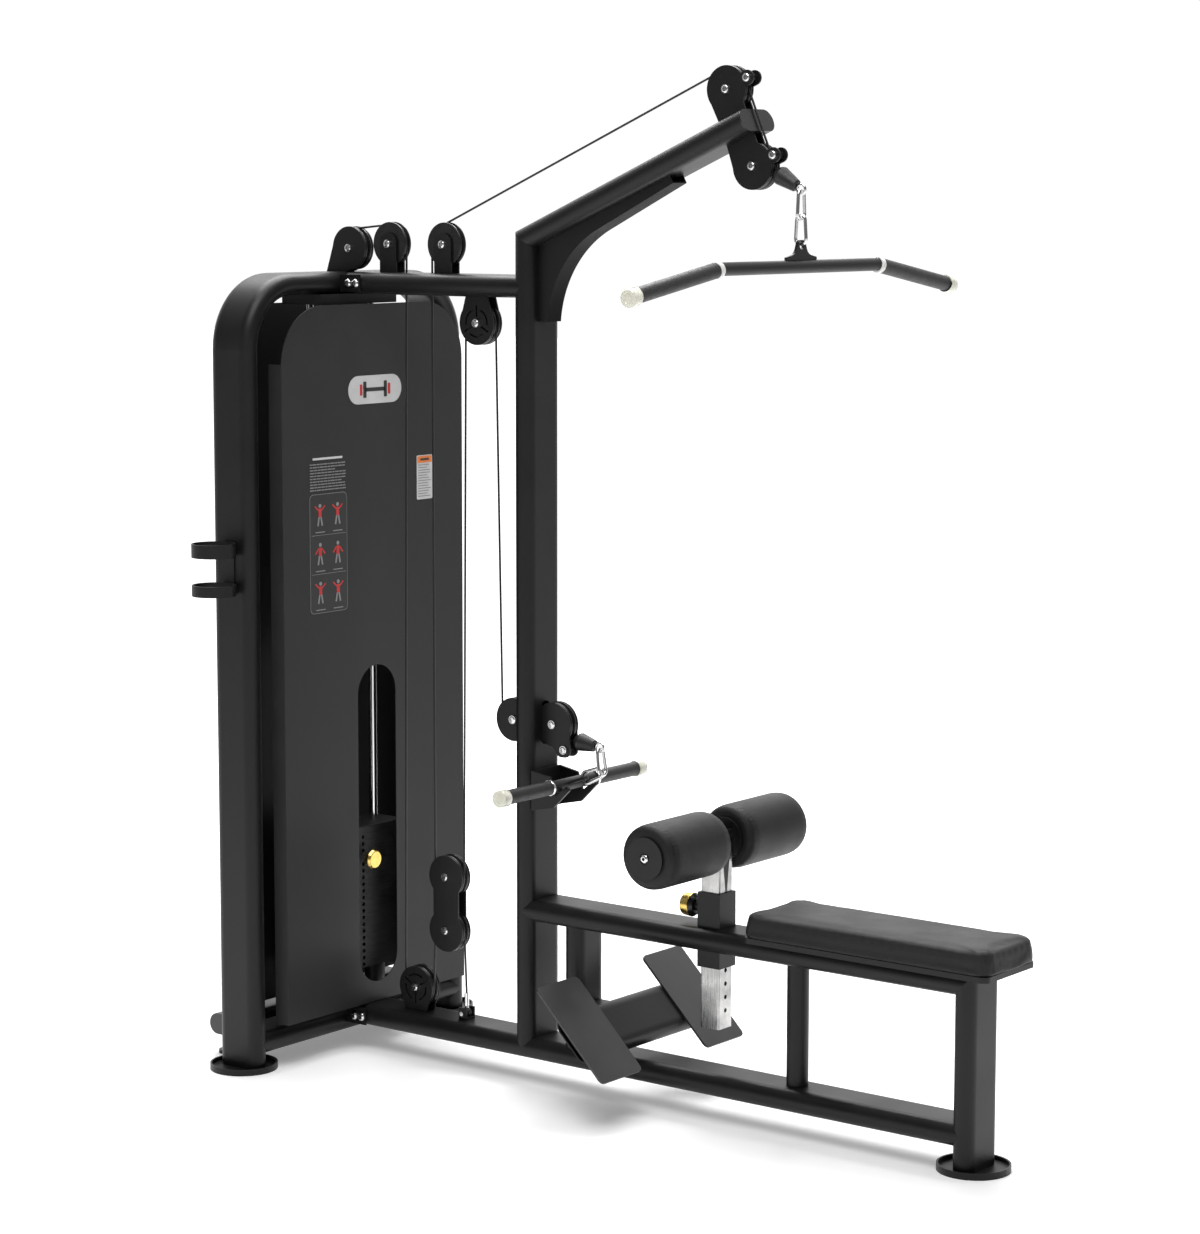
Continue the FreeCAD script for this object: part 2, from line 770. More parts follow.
def make_foot_rest():
    """A cross tube tipped at 45 degrees on a short arm, with a sheet plate on each end."""
    tip = Rotation(Vector(0, 1, 0), 45)
    drop = (s.rest_plate_thick / 2 + half_thick) * math.sqrt(0.5)
    tube_x = mast_x + s.rest_reach - drop
    tube_z = s.rest_rise - drop
    body = new_body("foot_rest_tube", tube_x, 0, tube_z, tip)
    pad(body, tube_profile(body, "XZ", s.tube_wide, False), s.rest_span + s.tube_thick, True)
    arm = new_body("foot_rest_arm", mast_x + s.rest_post_reach + half_thick, 0, tube_z)
    bar = new_sketch(arm, "YZ")
    oblong(bar, s.tube_thick, s.tube_thick)
    length = s.rest_reach - drop - s.rest_post_reach - half_thick
    pad(arm, bar, length)
    section = new_sketch(arm, "XZ")
    reach = (s.tube_wide - s.tube_thick) / 2 * math.sqrt(0.5)
    circle(section, half_thick, length - reach, reach)
    cut(arm, section, BIG, symmetric=True)
    section = new_sketch(arm, "XZ")
    step = half_thick * math.sqrt(0.5)
    outline(section, [
        (length - reach - step, reach - step),
        (length + reach - step, -reach - step),
        (length + BIG / 4, -reach - step),
        (length + BIG / 4, BIG / 4),
        (length - reach + step, BIG / 4),
        (length - reach + step, reach + step),
    ])
    cut(arm, section, BIG, symmetric=True)
    for side, name in ((-1, "foot_plate_left"), (1, "foot_plate_right")):
        plate = new_body(name, mast_x + s.rest_reach, s.rest_span / 2 * side, s.rest_rise, tip)
        face = new_sketch(plate, "XY", -s.rest_plate_thick / 2)
        oblong(face, s.rest_plate_long, s.rest_plate_wide, 0, 0, s.rest_corner)
        pad(plate, face, s.rest_plate_thick)


def make_feet():
    """Rimmed discs that the three legs stand in, and two screw feet under the rear tube."""
    for name, x, y in (
        ("foot_front", leg_x, 0),
        ("foot_left", tower_x, -leg_y),
        ("foot_right", tower_x, leg_y),
    ):
        body = new_body(name, x, y, 0)
        half = new_sketch(body, "XZ")
        rim = s.foot_wide / 2
        outline(half, [
            (0, 0), (rim, 0), (rim, s.foot_tall), (rim - s.foot_rim, s.foot_tall),
            (rim - s.foot_rim, s.foot_floor), (0, s.foot_floor),
        ])
        turn_about(body, half)
    body = new_body("rear_feet", rear_x, 0, 0)
    discs = new_sketch(body, "XY")
    stems = new_sketch(body, "XY")
    for side in (-1, 1):
        circle(discs, s.glide_wide / 2, -s.glide_wide / 2, (s.rear_long - s.glide_wide) / 2 * side)
        circle(stems, s.glide_stem / 2, -s.glide_wide / 2, (s.rear_long - s.glide_wide) / 2 * side)
    pad(body, discs, s.glide_tall)
    pad(body, stems, s.rear_low)


def make_joint_brackets():
    """U-shaped ears that hold the beams to the tower, each with a bolt through the beam."""
    body = new_body("joint_brackets", tower_front, 0, 0)
    ear, ear_long = s.ear_plate, s.ear_long
    for middle in (beam_mid, top_mid):
        block = new_sketch(body, "XY", middle - s.ear_tall / 2)
        oblong(block, ear_long, s.tube_wide + ear * 2, ear_long / 2, 0)
        pad(body, block, s.ear_tall)
        space = new_sketch(body, "XY", middle - s.ear_tall)
        oblong(space, ear_long, s.tube_wide, ear_long / 2 + s.joint_plate, 0)
        cut(body, space, s.ear_tall * 2, reverse=True)
    bolts = new_body("joint_bolts", tower_front + s.joint_plate + ear_long / 3, 0, 0)
    for middle in (beam_mid, top_mid):
        for side in (-1, 1):
            head = new_sketch(bolts, "XZ", (half_wide + ear) * side)
            circle(head, s.head_wide / 2, 0, middle)
            circle(head, s.head_wide / 2, s.head_wide * 1.2, middle)
            pad(bolts, head, s.head_tall, reverse=side < 0)


# ---- tower: shrouds, rods and weights ---------------------------------------------------------
def make_shroud(name, facing):
    """A sheet cover, folded along its straight sides only; the front one has the pin slot."""
    reach = s.shroud_reach * facing
    turn = Rotation() if facing > 0 else Rotation(Vector(0, 0, 1), 180)
    body = new_body(name, tower_x + reach, 0, shroud_low, turn)
    tall = shroud_top - shroud_low
    wall = s.shroud_wall
    half = s.shroud_wide / 2
    face = new_sketch(body, "YZ", -s.shroud_depth)
    outline(face, [(-half, 0), (half, 0), (half, tall, s.shroud_bend), (-half, tall, s.shroud_bend)])
    pad(body, face, s.shroud_depth)
    inside = new_sketch(body, "YZ", -wall)
    inner = half - wall
    outer = half + s.shroud_depth
    fold = tall - s.flange_drop
    over = tall + s.shroud_depth
    outline(inside, [
        (-inner, -s.shroud_depth), (inner, -s.shroud_depth), (inner, fold), (outer, fold),
        (outer, over), (-outer, over), (-outer, fold), (-inner, fold),
    ])
    cut(body, inside, s.shroud_depth)
    if facing > 0:
        slot = new_sketch(body, "YZ")
        middle = (s.slot_top + s.slot_low) / 2 - shroud_low
        oval(slot, s.slot_top - s.slot_low, s.slot_wide, 0, middle, upright=True)
        cut(body, slot, s.shroud_depth)


def make_guide_rods():
    body = new_body("guide_rods", tower_x, 0, s.cross_low + s.tube_thick)
    rods = new_sketch(body, "XY")
    for side in (-1, 1):
        circle(rods, s.rod_wide / 2, 0, s.rod_span / 2 * side)
    pad(body, rods, top_low - s.rod_plate_thick - s.cross_low - s.tube_thick)
    plate = new_body("rod_plate", tower_x, 0, top_low - s.rod_plate_tall)
    block = new_sketch(plate, "XY")
    oblong(block, s.rod_plate_deep, s.rod_plate_long)
    pad(plate, block, s.rod_plate_tall)
    hollow = new_sketch(plate, "XY", s.rod_plate_tall - s.rod_plate_thick)
    thick = s.rod_plate_thick * 2
    oblong(hollow, s.rod_plate_deep - thick, s.rod_plate_long - thick)
    cut(plate, hollow, s.rod_plate_tall)
    hole = new_sketch(plate, "XY", s.rod_plate_tall)
    circle(hole, s.cable_wide * 1.5)
    cut(plate, hole, s.rod_plate_tall)
    bumpers = new_body("stack_bumpers", tower_x, 0, s.cross_low + s.tube_thick)
    rings = new_sketch(bumpers, "XY")
    for side in (-1, 1):
        circle(rings, s.bumper_wide / 2, 0, s.rod_span / 2 * side)
        circle(rings, s.rod_wide / 2 + s.run_gap, 0, s.rod_span / 2 * side)
    pad(bumpers, rings, s.stack_low - s.cross_low - s.tube_thick)


def weight_profile(body, rod_slack):
    sketch = new_sketch(body, "XY")
    oblong(sketch, s.plate_deep, s.plate_wide)
    for side in (-1, 1):
        circle(sketch, s.rod_wide / 2 + rod_slack, 0, s.rod_span / 2 * side)
    return sketch


def make_weights():
    for name, low, count in (
        ("resting_plates", s.stack_low, s.resting_count),
        ("lifted_plates", s.stack_low + plate_pitch * s.resting_count, s.lifted_count),
    ):
        body = new_body(name, tower_x, 0, low)
        profile = weight_profile(body, s.rub_gap)
        circle(profile, stem_hole / 2)
        plate = pad(body, profile, s.plate_thick)
        bore = new_sketch(body, "YZ")
        circle(bore, s.pin_wide / 2 + s.run_gap, 0, s.plate_thick / 2)
        hole = cut(body, bore, s.plate_deep, symmetric=True)
        repeat(body, [plate, hole], "Z", plate_pitch, count)
    top = new_body("top_plate", tower_x, 0, top_plate_low)
    pad(top, weight_profile(top, s.run_gap), s.plate_thick)
    socket = new_sketch(top, "XY", 0)
    circle(socket, s.stem_wide / 2)
    cut(top, socket, s.plate_thick, reverse=True)
    stem = new_body("selector_stem", tower_x, 0, s.stack_low)
    bar = new_sketch(stem, "XY")
    circle(bar, s.stem_wide / 2)
    pad(stem, bar, top_plate_top - s.stack_low)
    neck = new_sketch(stem, "XY", top_plate_top - s.stack_low)
    circle(neck, stem_hole / 2)
    pad(stem, neck, s.tube_thick)
    bores = new_sketch(stem, "YZ")
    circle(bores, s.pin_wide / 2 + s.run_gap, 0, s.plate_thick / 2)
    hole = cut(stem, bores, s.plate_deep, symmetric=True)
    repeat(stem, [hole], "Z", plate_pitch, s.resting_count + s.lifted_count)


def make_selector_pin():
    """The pin goes through the chosen plate and the stem, and its knob stays behind the cover."""
    front = s.shroud_reach - s.shroud_wall - s.knob_gap
    body = new_body("selector_pin", tower_x + front, 0, pin_z)
    knob = new_sketch(body, "XY")
    wide = s.pin_knob_wide / 2
    long = s.pin_knob_long
    outline(knob, [
        (0, 0), (0, wide * 0.8, wide / 8), (-long / 3, wide, wide / 6), (-long, wide * 0.7, wide / 8),
        (-long, s.pin_wide / 2), (-front - s.stem_wide / 2, s.pin_wide / 2),
        (-front - s.stem_wide / 2, 0),
    ])
    turn_about(body, knob, "H_Axis")


# ---- pulleys ---------------------------------------------------------------------------------
def make_sheave(name, place):
    """A grooved wheel that turns on its bolt about the Y axis."""
    body = new_body("sheave_" + name, place[0], 0, place[1])
    half = new_sketch(body, "XY")
    groove = s.wrap_radius - s.cable_wide / 2 - s.cable_gap
    rim = sheave_wide / 2
    bore = s.bolt_wide / 2 + s.run_gap
    thick = s.sheave_thick / 2
    mouth = s.cable_wide / 2 + 3.5
    floor = s.cable_wide / 2 - 0.2
    outline(half, [
        (bore, -thick), (rim, -thick, 2), (rim, -mouth), (groove, -floor), (groove, floor),
        (rim, mouth), (rim, thick, 2), (bore, thick),
    ])
    turn_about(body, half)


def side_plates(name, x, discs, straps, lobes=()):
    """Pairs of cheek plates: discs round the pulleys, straps to what carries them."""
    body = new_body(name, x, 0, 0)
    if discs:
        rounds = new_sketch(body, "XZ")
        for disc_x, disc_z, radius in discs:
            circle(rounds, radius, disc_x - x, disc_z)
        pad(body, rounds, plates_out * 2, symmetric=True)
    for corners in straps:
        strap = new_sketch(body, "XZ")
        outline(strap, [(corner[0] - x, *corner[1:]) for corner in corners])
        pad(body, strap, plates_out * 2, symmetric=True)
    gap = new_sketch(body, "XZ")
    oblong(gap, BIG * 6, BIG * 8, 0, BIG * 3)
    cut(body, gap, plates_in * 2, symmetric=True)
    bores = new_sketch(body, "XZ")
    for bore_x, bore_z in lobes:
        circle(bores, s.bolt_wide / 2, bore_x - x, bore_z)
    cut(body, bores, BIG, symmetric=True)
    return body


ARC_STEPS = 7
ARC_SWEEP = 76


def spokes(body, place, drop):
    """Three straight slots round a bolt in a pair of cheek plates, and an arc between each two."""
    x, z = place[0] - mast_x, place[1]

    def at(turn, along, across=0):
        out = Vector(math.cos(math.radians(turn)), math.sin(math.radians(turn)), 0)
        side = Vector(-out.y, out.x, 0)
        return (x + along * out.x + across * side.x, z + (along * out.y + across * side.y) * drop)

    half = s.spoke_wide / 2
    for turn in (90, 210, 330):
        sketch = new_sketch(body, "XZ")
        outline(sketch, [
            at(turn, s.spoke_near, -half), at(turn, s.spoke_far, -half),
            at(turn, s.spoke_far, half), at(turn, s.spoke_near, half),
        ])
        cut(body, sketch, BIG, symmetric=True)
        turns = [turn + 60 + ARC_SWEEP * (step / ARC_STEPS - 0.5) for step in range(ARC_STEPS + 1)]
        arc = new_sketch(body, "XZ")
        outline(arc, [at(angle, s.arc_mid - s.arc_wide / 2) for angle in turns]
                + [at(angle, s.arc_mid + s.arc_wide / 2) for angle in reversed(turns)])
        cut(body, arc, BIG, symmetric=True)


def make_brackets():
    a, b, c, d = (pulley[key] for key in "abcd")
    cheek = sheave_wide / 2
    half = s.strap_wide / 2
    straps = [[
        (a[0] - cheek * 0.8 - 30, s.tower_tall), (a[0] - 12, s.tower_tall),
        (a[0] + cheek * 0.6, a[1] - cheek * 0.8), (a[0] - cheek * 0.866, a[1] + cheek * 0.5),
    ]]
    for x, z in (b, c):
        straps.append([
            (x - half, s.tower_tall), (x + half, s.tower_tall),
            (x + half, z + half, half * 0.98), (x - half, z + half, half * 0.98),
        ])
    side_plates("top_brackets", mast_x, [(*a, cheek)], straps, [a, b, c])
    foot = cheek * 0.64
    hang = side_plates("hanging_bracket", mast_x, [(*d, cheek)], [[
        (d[0] - foot, top_low), (d[0] - cheek * 0.98, d[1]),
        (d[0] + cheek * 0.98, d[1]), (d[0] + foot, top_low),
    ]], [d])
    spokes(hang, d, 1)
    low = pulley["bottom"]
    floor = side_plates("bottom_bracket", mast_x, [(*low, cheek)], [[
        (low[0] - foot, beam_top), (low[0] + foot, beam_top),
        (low[0] + cheek * 0.98, low[1]), (low[0] - cheek * 0.98, low[1]),
    ]], [low])
    spokes(floor, low, -1)
    make_boom_brackets(cheek)
    make_row_brackets(cheek)
    upper, lower = pulley["block_upper"], pulley["block_lower"]
    side_plates("block_plates", mast_x, [(*upper, cheek), (*lower, cheek)], [[
        (upper[0] - cheek * 0.75, upper[1]), (upper[0] + cheek * 0.75, upper[1]),
        (lower[0] + cheek * 0.75, lower[1]), (lower[0] - cheek * 0.75, lower[1]),
    ]], [upper, lower])


def make_boom_brackets(cheek):
    discs, straps, bores = [], [], []
    for key, side in (("e", 1), ("f", -1)):
        out = s.boom_pulley_out
        lobe = s.retainer_wide
        discs += [(*pulley[key], cheek)]
        straps.append([
            boom_point(s.boom_reach - s.strap_back, half_thick * side),
            boom_point(s.boom_reach + s.strap_front, half_thick * side),
            boom_point(s.boom_reach + s.strap_front, out * side),
            boom_point(s.boom_reach - cheek * 0.98, out * side),
        ])
        if side < 0:
            straps[-1].reverse()
        ends = [
            boom_point(s.boom_reach, (out - lobe) * side),
            boom_point(s.boom_reach + s.retainer_out + lobe, (out - lobe) * side),
            boom_point(s.boom_reach + s.retainer_out + lobe, (out + lobe) * side),
            boom_point(s.boom_reach, (out + lobe) * side),
        ]
        round_off = lobe * 0.98
        straps.append([ends[0], (*ends[1], round_off), (*ends[2], round_off), ends[3]])
        if side < 0:
            straps[-1].reverse()
        bores += [pulley[key], retainer[key]]
    side_plates("boom_brackets", mast_x, discs, straps, bores)


def make_row_brackets(cheek):
    g, h = pulley["g"], pulley["h"]
    strap = [
        (g[0], g[1] - half_thick), (h[0], h[1] - half_thick),
        (h[0], h[1] + half_thick), (g[0], g[1] + half_thick),
    ]
    lobe = s.retainer_wide * 1.1
    hold_x, hold_z = retainer["h"]
    arm = [
        (h[0] - lobe, h[1] - half_thick), (hold_x - lobe, hold_z - lobe, lobe * 0.9),
        (hold_x + lobe, hold_z - lobe, lobe * 0.9), (h[0] + cheek * 0.95, h[1]),
    ]
    side_plates("row_brackets", mast_x, [(*g, cheek), (*h, cheek)], [strap, arm],
                [g, h, retainer["h"]])


def make_bolts(name, places, x):
    """Button-head bolts through both cheek plates, each with its nut on the far side."""
    body = new_body(name, x, 0, 0)
    shanks = new_sketch(body, "XZ", -plates_out)
    for place_x, place_z in places:
        circle(shanks, s.bolt_wide / 2, place_x - x, place_z)
    pad(body, shanks, plates_out * 2)
    for lift, reverse in ((plates_out, False), (-plates_out, True)):
        heads = new_sketch(body, "XZ", lift)
        for place_x, place_z in places:
            circle(heads, s.head_wide / 2, place_x - x, place_z)
        pad(body, heads, s.head_tall, reverse=reverse)


def make_pulleys():
    for name, place in pulley.items():
        make_sheave(name, place)
    make_brackets()
    fixed = [place for name, place in pulley.items() if not name.startswith("block")]
    make_bolts("pulley_bolts", fixed + list(retainer.values()), mast_x)
    make_bolts("block_bolts", [pulley["block_upper"], pulley["block_lower"]], mast_x)
    bushes = new_body("cable_retainers", mast_x, 0, 0)
    rings = new_sketch(bushes, "XZ")
    for x, z in retainer.values():
        circle(rings, s.retainer_wide / 2, x - mast_x, z)
        circle(rings, s.bolt_wide / 2 + s.run_gap, x - mast_x, z)
    pad(bushes, rings, (plates_in - s.rub_gap) * 2, symmetric=True)


# ---- cables -----------------------------------------------------------------------------------
LEFT, RIGHT = 1, -1  # the side of the run on which a pulley lies, looking along the run


def tangent(start, end):
    """Where a tight run leaves one stop and meets the next."""
    (p, r, a), (q, t, b) = start, end
    along = q - p
    span = along.Length
    unit = along * (1 / span)
    right = Vector(unit.z, 0, -unit.x)
    lean = (a * r - b * t) / span
    normal = unit * lean + right * math.sqrt(1 - lean * lean)
    return p + normal * (a * r), q + normal * (b * t)


class Route:
    """A tight cable: fixed points and pulleys, joined by runs and arcs of the pulleys' radius."""

    def __init__(self, items):
        self.stops = []
        for (x, z), side in items:
            radius = s.wrap_radius.value if side else 0
            self.stops.append((Vector(value_of(x), 0, value_of(z)), radius, side))
        pairs = zip(self.stops, self.stops[1:])
        self.runs = [tangent(start, end) for start, end in pairs]

    def run(self, index):
        return Part.LineSegment(*self.runs[index]).toShape()

    def wrap(self, index):
        centre, radius, side = self.stops[index]
        start = self.runs[index - 1][1] - centre
        end = self.runs[index][0] - centre
        first = math.atan2(start.z, start.x)
        sweep = (math.atan2(end.z, end.x) - first) * side % (2 * math.pi) * side
        middle = first + sweep / 2
        peak = centre + Vector(math.cos(middle), 0, math.sin(middle)) * radius
        return Part.Arc(centre + start, peak, centre + end).toShape()

    def stretch(self, first, last):
        edges = [self.wrap(first)]
        for index in range(first, last):
            edges += [self.run(index), self.wrap(index + 1)]
        return edges


def cable(label, paths):
    """Round cable along each path, one solid per path."""
    solids = []
    for edges in paths:
        path = Part.Wire(edges)
        at = edges[0].valueAt(edges[0].FirstParameter)
        ahead = edges[0].tangentAt(edges[0].FirstParameter)
        section = Part.Wire(Part.makeCircle(s.cable_wide.value / 2, at, ahead))
        solid = path.makePipeShell([section], True, True)
        expected = math.pi * (s.cable_wide.value / 2) ** 2 * path.Length
        if abs(solid.Volume - expected) > expected * 0.01:
            raise RuntimeError("%s has the wrong volume" % label)
        solids.append(solid)
        arcs = [edge.Curve.Radius for edge in edges if hasattr(edge.Curve, "Radius")]
        print("%-18s length %7.1f  arc radii %s" % (label, path.Length, sorted(set(arcs))))
    piece = doc.addObject("Part::Feature", label)
    piece.Label = label
    piece.Shape = Part.Compound(solids)
    pieces[label] = piece


CABLE_END_GAP = 2
STOPPER_WIDE = 42
STOPPER_END = 26
EYE_WIRE = 6
EYE_RADIUS = 10
LINK_LONG = 60
LINK_WIDE = 28
LINK_NOSE = 20
REST = 0.4
TAB_HOLE = 12
TAB_WAIST = 46

lat_x = mast_x + s.lat_reach
lat_eye = (lat_x, lat_bar_rise + 161)
lat_tip = (pulley["f"][0] + 53, pulley["f"][1] - 14)
row_tip = (pulley["h"][0] + 58, pulley["h"][1] - 33)
row_eye = (pulley["h"][0] + 123, pulley["h"][1] - 42)
stem_top = (tower_x, top_plate_top + s.tube_thick)
anchor_top = (mast_x - s.anchor_reach, beam_top + s.ferrule_top)


def before(tip, eye):
    """The cable's end, just short of the stopper's face."""
    start, end = in_plane(tip), in_plane(eye)
    place = start - (end - start).normalize() * CABLE_END_GAP
    return place.x, place.z


def make_cables():
    pull = Route([
        (before(lat_tip, lat_eye), 0), (pulley["f"], LEFT), (pulley["e"], LEFT), (pulley["c"], LEFT),
        (pulley["block_upper"], LEFT), (pulley["d"], RIGHT), (pulley["g"], LEFT),
        (pulley["h"], LEFT), (before(row_tip, row_eye), 0),
    ])
    lift = Route([
        (anchor_top, 0), (pulley["block_lower"], LEFT), (pulley["bottom"], RIGHT),
        (pulley["b"], LEFT), (pulley["a"], LEFT), (stem_top, 0),
    ])
    cable("pull_cable", [pull.stretch(1, 3), pull.stretch(5, 7)])
    cable("lift_cable", [lift.stretch(2, 4)])
    cable("block_wraps", [pull.stretch(4, 4), lift.stretch(1, 1)])
    cable("lat_drop", [[pull.run(0)]])
    cable("row_run", [[pull.run(7)]])
    cable("stack_drop", [[lift.run(4)]])
    cable("block_upper_runs", [[pull.run(3)], [pull.run(4)]])
    cable("block_lower_runs", [[lift.run(0)], [lift.run(1)]])


def make_cable_anchor():
    """A lug welded to the base beam, its cross bolt, and the ferrule pressed on the cable."""
    x, z = mast_x - s.anchor_reach, beam_top + s.anchor_rise
    body = new_body("anchor_lug", x, 0, beam_top)
    block = new_sketch(body, "XZ")
    oblong(block, s.lug_long, s.lug_tall, 0, s.lug_tall / 2)
    pad(body, block, plates_out * 2, symmetric=True)
    gap = new_sketch(body, "XZ")
    oblong(gap, s.lug_long * 2, s.lug_tall, 0, s.lug_floor + s.lug_tall / 2)
    cut(body, gap, plates_in * 2, symmetric=True)
    bore = new_sketch(body, "XZ")
    circle(bore, s.bolt_wide / 2 + s.run_gap, 0, s.anchor_rise)
    cut(body, bore, BIG, symmetric=True)
    end = plates_out + s.head_tall
    rod("anchor_bolt", (x, -end, z), (x, end, z), s.bolt_wide)
    side = s.ferrule_wide / 2
    rod("anchor_eye", (x, -side, z), (x, side, z), s.eye_wide, s.bolt_wide + s.run_gap * 2)
    rod("anchor_ferrule", (x, 0, z + s.eye_wide / 2 + 1), (x, 0, anchor_top[1]), s.ferrule_wide)
    group("cable_anchor", ["anchor_lug", "anchor_bolt", "anchor_eye", "anchor_ferrule"])


# ---- handles ----------------------------------------------------------------------------------
def in_plane(point, lift=0):
    return Vector(value_of(point[0]), lift, value_of(point[1]))


def loop(label, top, bottom, across):
    """A link of round wire between two points, its plane set by the direction across it."""
    down = (bottom - top).normalize()
    side = across.cross(down).normalize()
    turn = Placement(top, Rotation(side, down.cross(side), down, "ZXY"))
    long = (bottom - top).Length
    body = new_body(label)
    body.Placement = turn
    spine = new_sketch(body, "XZ")
    nose, wide = LINK_NOSE / 2, LINK_WIDE / 2
    ends = [(-nose, 0, nose), (nose, 0, nose), (wide, long, wide * 0.9), (-wide, long, wide * 0.9)]
    outline(spine, ends)
    section = new_sketch(body, "XY", long / 2)
    circle(section, s.link_wire / 2, (nose + wide) / 2, 0)
    pipe(body, "AdditivePipe", section, spine)
    return body


def make_hanger(name, tip, eye, joints):
    """The rubber stopper on the cable's end, its steel eye, and two carabiners."""
    start, end = in_plane(tip), in_plane(eye)
    ahead = (end - start).normalize()
    long = (end - start).Length - EYE_RADIUS - EYE_WIRE / 2
    cone = new_body(name + "_stopper")
    cone.Placement = Placement(start, Rotation(Vector(0, 0, 1), ahead))
    half = new_sketch(cone, "XZ")
    outline(half, [
        (0, 0), (STOPPER_WIDE * 0.3, 0), (STOPPER_WIDE / 2, long * 0.2, long * 0.15),
        (STOPPER_END / 2, long, 4), (0, long),
    ])
    turn_about(cone, half)
    ring = doc.addObject("Part::Torus", name + "_eye")
    ring.Label = name + "_eye"
    ring.Radius1 = EYE_RADIUS
    ring.Radius2 = EYE_WIRE / 2
    ring.Placement = Placement(end, Rotation(Vector(1, 0, 0), 90))
    pieces[ring.Label] = ring
    names = [name + "_stopper", name + "_eye"]
    for index, (top, bottom, across) in enumerate(joints):
        loop("%s_link_%d" % (name, index), top, bottom, across)
        names.append("%s_link_%d" % (name, index))
    group(name, names)


def make_tab(name, at, toward, wide, hole, waist=None):
    """A triangular plate welded on the bar, with a hole for the carabiner; a waist hollows it."""
    long = (toward - at).Length
    body = new_body(name)
    body.Placement = Placement(at, Rotation(Vector(0, 0, 1), toward - at))
    face = new_sketch(body, "YZ")
    foot = s.bar_wide / 2
    right = [(wide / 2, foot)]
    if waist:
        right += [(wide / 2, foot + s.tab_thick), (waist / 2, long * 0.6, waist / 2)]
    right.append((hole, long + hole, hole * 0.9))
    outline(face, right + [(-corner[0], *corner[1:]) for corner in reversed(right)])
    circle(face, hole / 1.6, 0, long)
    pad(body, face, s.tab_thick, symmetric=True)


def make_lat_bar():
    droop = math.radians(s.lat_droop.value)
    out, down = math.cos(droop), math.sin(droop)
    z = lat_bar_rise
    arm = s.lat_arm.value
    half = s.lat_half.value
    at = Vector(lat_x.value, 0, z.value)
    names = ["lat_middle"]
    rod("lat_middle", (lat_x, -s.lat_half, z), (lat_x, s.lat_half, z), s.bar_wide)
    for side, word in ((-1, "left"), (1, "right")):
        def on_arm(distance):
            return (lat_x, (half + distance * out) * side, z - distance * down)
        rod("lat_arm_" + word, on_arm(0), on_arm(arm), s.bar_wide)
        names.append("lat_arm_" + word)
        half_cap = s.cap_long.value / 2
        cap_start = on_arm(arm - half_cap)
        rod("grip_" + word, on_arm(s.grip_start.value), cap_start, grip_wide, s.bar_wide)
        rod("cap_" + word, cap_start, on_arm(arm + half_cap), cap_wide, s.bar_wide)
    steel = doc.addObject("Part::MultiFuse", "lat_steel")
    steel.Shapes = [pieces.pop(name) for name in names]
    steel.Label = "lat_steel"
    pieces["lat_steel"] = steel
    hole = at + Vector(0, 0, s.tab_rise.value)
    make_tab("lat_tab", at, hole, s.lat_tab_wide.value, TAB_HOLE, TAB_WAIST)
    group("lat_bar", ["lat_steel", "lat_tab"])
    group("lat_grips", ["grip_left", "grip_right", "cap_left", "cap_right"])
    eye = in_plane(lat_eye)
    first = eye - Vector(0, 0, EYE_RADIUS - EYE_WIRE / 2 - s.link_wire.value / 2 - REST)
    second = first - Vector(0, 0, LINK_LONG)
    third = second + Vector(0, 0, s.link_wire.value + REST)
    fourth = third - Vector(0, 0, LINK_LONG)
    joints = [(first, second, Vector(1, 0, 0)), (third, fourth, Vector(0, 1, 0))]
    make_hanger("lat_hanger", lat_tip, lat_eye, joints)


def make_row_bar():
    x, z = mast_x + s.row_bar_reach, s.row_bar_rise
    at = Vector(value_of(x), 0, z.value)
    half = s.row_bar_long / 2
    rod("row_steel", (x, -half, z), (x, half, z), s.bar_wide)
    for side, word in ((-1, "left"), (1, "right")):
        inner, outer = s.row_grip_start * side, (half - s.cap_long * 0.7) * side
        rod("row_grip_" + word, (x, inner, z), (x, outer, z), grip_wide, s.bar_wide)
        end = (half + s.cap_long * 0.3) * side
        rod("row_cap_" + word, (x, outer, z), (x, end, z), cap_wide, s.bar_wide)
    eye = in_plane(row_eye)
    lean = math.radians(8)
    fall = Vector(math.sin(lean), 0, -math.cos(lean))
    first = eye - Vector(0, 0, EYE_RADIUS - EYE_WIRE / 2 - s.link_wire.value / 2 - REST)
    second = first + fall * LINK_LONG
    third = second - fall * (s.link_wire.value + REST)
    toward = (at - third).normalize()
    fourth = third + toward * LINK_LONG
    hole = fourth + toward * (TAB_HOLE / 1.6 - s.link_wire.value / 2 - REST)
    make_tab("row_tab", at, hole, s.row_tab_wide.value, TAB_HOLE)
    group("row_bar", ["row_steel", "row_tab", "row_grip_left", "row_grip_right",
                      "row_cap_left", "row_cap_right"])
    joints = [(first, second, Vector(1, 0, 0)), (third, fourth, Vector(0, 1, 0))]
    make_hanger("row_hanger", row_tip, row_eye, joints)


